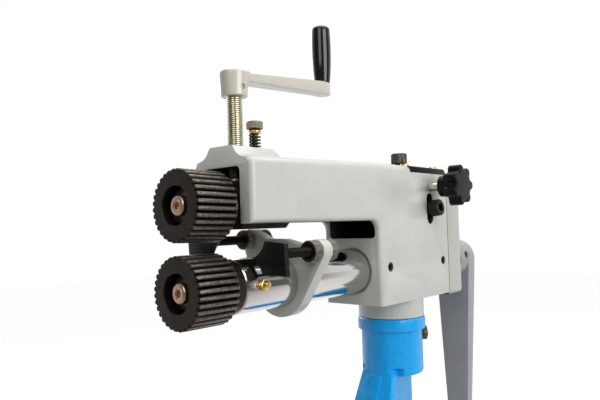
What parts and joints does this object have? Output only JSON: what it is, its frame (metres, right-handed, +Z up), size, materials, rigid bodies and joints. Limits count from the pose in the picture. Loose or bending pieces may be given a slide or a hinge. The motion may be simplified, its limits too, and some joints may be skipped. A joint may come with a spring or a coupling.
{
  "type": "hand cranked sheet metal crimper",
  "caption": "Bench clamped hand cranked crimper: ribbed rollers on geared spindles, a feed screw crank, sheet stops on the lower tube and a swivelling C clamp.",
  "frame": {"origin": "middle of the clamp's upper jaw face, which rests on the bench top", "axes": "+X from the rollers back to the crank, +Y the far side, +Z up"},
  "size_m": [0.4893, 0.1374, 0.5701],
  "materials": {
    "grey_enamel": "satin enamel",
    "cream_enamel": "gloss enamel",
    "lever_enamel": "satin enamel",
    "blue_enamel": "gloss enamel on a casting",
    "polished_chrome": "polished",
    "ground_steel": "ground",
    "zinc_steel": "zinc plated",
    "black_oxide": "black oxide, lightly oiled",
    "dark_steel": "blackened",
    "spring_black": "black spring wire",
    "brass": "bright",
    "bronze": "bronze",
    "dark_bush": "blackened bush flange",
    "black_plastic": "gloss"
  },
  "bodies": {
    "clamp": {"clamp_frame": "blue_enamel", "socket_lock_screw": "black_oxide"},
    "clamp_pad": {"clamp_pad": "dark_steel"},
    "clamp_screw": {"clamp_screw": "zinc_steel"},
    "tommy_bar": {"tommy_bar": "ground_steel"},
    "head": {"body_casting": "grey_enamel", "top_cover_plate": "black_oxide", "top_cover_screws": "brass", "oil_plug_nut": "black_oxide", "oil_plug_screw": "black_oxide", "spindle_set_screws": "dark_steel", "gear_cover": "grey_enamel", "gear_cover_screws": "zinc_steel", "lower_tube": "polished_chrome", "grease_nipple": "brass", "lower_front_bush": "dark_bush", "lower_rear_bush": "bronze", "lift_spring": "spring_black"},
    "lower_spindle": {"lower_shaft": "ground_steel", "lower_roller": "black_oxide", "lower_roller_washer": "ground_steel", "lower_roller_bolt": "bronze", "lower_spindle_keys": "ground_steel", "lower_gear": "dark_steel", "crank_lever": "lever_enamel", "lever_set_screw": "dark_steel", "crank_grip_pin": "ground_steel"},
    "crank_grip": {"crank_grip": "black_plastic"},
    "upper_bearing": {"bearing_block": "dark_steel", "upper_front_bush": "bronze", "upper_rear_bush": "bronze", "lift_stud": "ground_steel", "lift_cap": "brass"},
    "lift_nut": {"lift_nut": "brass"},
    "upper_thrust": {"upper_thrust_rings": "ground_steel"},
    "upper_spindle": {"upper_shaft": "ground_steel", "upper_roller": "black_oxide", "upper_roller_washer": "ground_steel", "upper_roller_bolt": "bronze", "upper_spindle_keys": "ground_steel", "upper_gear": "dark_steel"},
    "feed_thrust": {"feed_thrust_button": "zinc_steel"},
    "feed_crank": {"feed_screw": "zinc_steel", "feed_crank": "cream_enamel", "feed_crank_screw": "dark_steel", "feed_grip_pin": "ground_steel"},
    "feed_grip": {"feed_grip": "black_plastic"},
    "adjuster": {"adjuster_sleeve": "black_oxide", "adjuster_screw": "black_oxide"},
    "star_knob": {"star_knob": "black_plastic", "star_knob_stud": "ground_steel"},
    "stop_bracket": {"stop_bracket": "grey_enamel", "bracket_set_screw": "dark_steel", "stop_rod_nuts": "dark_steel"},
    "near_stop": {"near_stop_plate": "black_oxide", "near_stop_rod": "black_oxide"},
    "far_stop": {"far_stop_plate": "black_oxide", "far_stop_rod": "black_oxide"}
  },
  "joints": [
    {"name": "clamp_travel", "type": "slide", "parent": "clamp", "child": "clamp_pad", "axis": [0, 0, 1], "range_m": [-0.0105, 0.038]},
    {"name": "clamp_turn", "type": "hinge", "parent": "clamp_pad", "child": "clamp_screw", "pos_m": [0, 0, -0.06], "axis": [0, 0, 1], "range_deg": [-1900, 6850]},
    {"name": "tommy_slide", "type": "slide", "parent": "clamp_screw", "child": "tommy_bar", "axis": [0, 1, 0], "range_m": [-0.042, 0.042]},
    {"name": "head_turn", "type": "hinge", "parent": "clamp", "child": "head", "pos_m": [0.06065, 0, 0.1], "axis": [0, 0, 1], "range_deg": [-90, 90]},
    {"name": "lower_turn", "type": "hinge", "parent": "head", "child": "lower_spindle", "pos_m": [0, 0, 0.165], "axis": [1, 0, 0], "continuous": true},
    {"name": "crank_grip_turn", "type": "hinge", "parent": "lower_spindle", "child": "crank_grip", "pos_m": [0.202, 0, -0.045], "axis": [1, 0, 0], "continuous": true},
    {"name": "upper_tilt", "type": "hinge", "parent": "head", "child": "upper_bearing", "pos_m": [0.0884, 0, 0.217], "axis": [0, 1, 0], "range_deg": [-1.54, 0.02], "deforming": ["lift_spring"]},
    {"name": "lift_nut_turn", "type": "hinge", "parent": "upper_bearing", "child": "lift_nut", "pos_m": [-0.1187, 0, 0.284], "axis": [0, 0, 1], "range_deg": [-180, 180]},
    {"name": "upper_shift", "type": "slide", "parent": "upper_bearing", "child": "upper_thrust", "axis": [0.9998, 0, -0.0215], "range_m": [-0.00023333, 0.0007]},
    {"name": "upper_turn", "type": "hinge", "parent": "upper_thrust", "child": "upper_spindle", "pos_m": [0.0884, 0, 0.217], "axis": [0.9998, 0, -0.0215], "continuous": true},
    {"name": "feed_travel", "type": "slide", "parent": "head", "child": "feed_thrust", "axis": [0, 0, 1], "range_m": [-0.00607, 0]},
    {"name": "feed_turn", "type": "hinge", "parent": "feed_thrust", "child": "feed_crank", "pos_m": [-0.1387, 0, 0.3], "axis": [0, 0, 1], "range_deg": [-1460, 5]},
    {"name": "feed_grip_turn", "type": "hinge", "parent": "feed_crank", "child": "feed_grip", "pos_m": [-0.0352, 0, 0.35], "axis": [0, 0, 1], "continuous": true},
    {"name": "adjuster_turn", "type": "hinge", "parent": "head", "child": "adjuster", "pos_m": [0.0884, 0, 0.217], "axis": [1, 0, 0], "range_deg": [-5, 15]},
    {"name": "star_knob_turn", "type": "hinge", "parent": "head", "child": "star_knob", "pos_m": [0.0884, -0.05, 0.2413], "axis": [0, -1, 0], "range_deg": [0, 180]},
    {"name": "bracket_slide", "type": "slide", "parent": "head", "child": "stop_bracket", "axis": [1, 0, 0], "range_m": [0, 0.045]},
    {"name": "near_stop_slide", "type": "slide", "parent": "stop_bracket", "child": "near_stop", "axis": [1, 0, 0], "range_m": [-0.015, 0.02]},
    {"name": "far_stop_slide", "type": "slide", "parent": "stop_bracket", "child": "far_stop", "axis": [1, 0, 0], "range_m": [-0.004, 0.02]}
  ],
  "couplings": [
    {"joint": "clamp_turn", "follows": "clamp_travel", "rad_per_m": 3141.6},
    {"joint": "upper_turn", "follows": "lower_turn", "ratio": -1},
    {"joint": "feed_turn", "follows": "feed_travel", "rad_per_m": 4188.8},
    {"joint": "upper_tilt", "follows": "feed_travel", "rad_per_m": 4.4023},
    {"joint": "adjuster_turn", "follows": "upper_shift", "rad_per_m": 374}
  ]
}
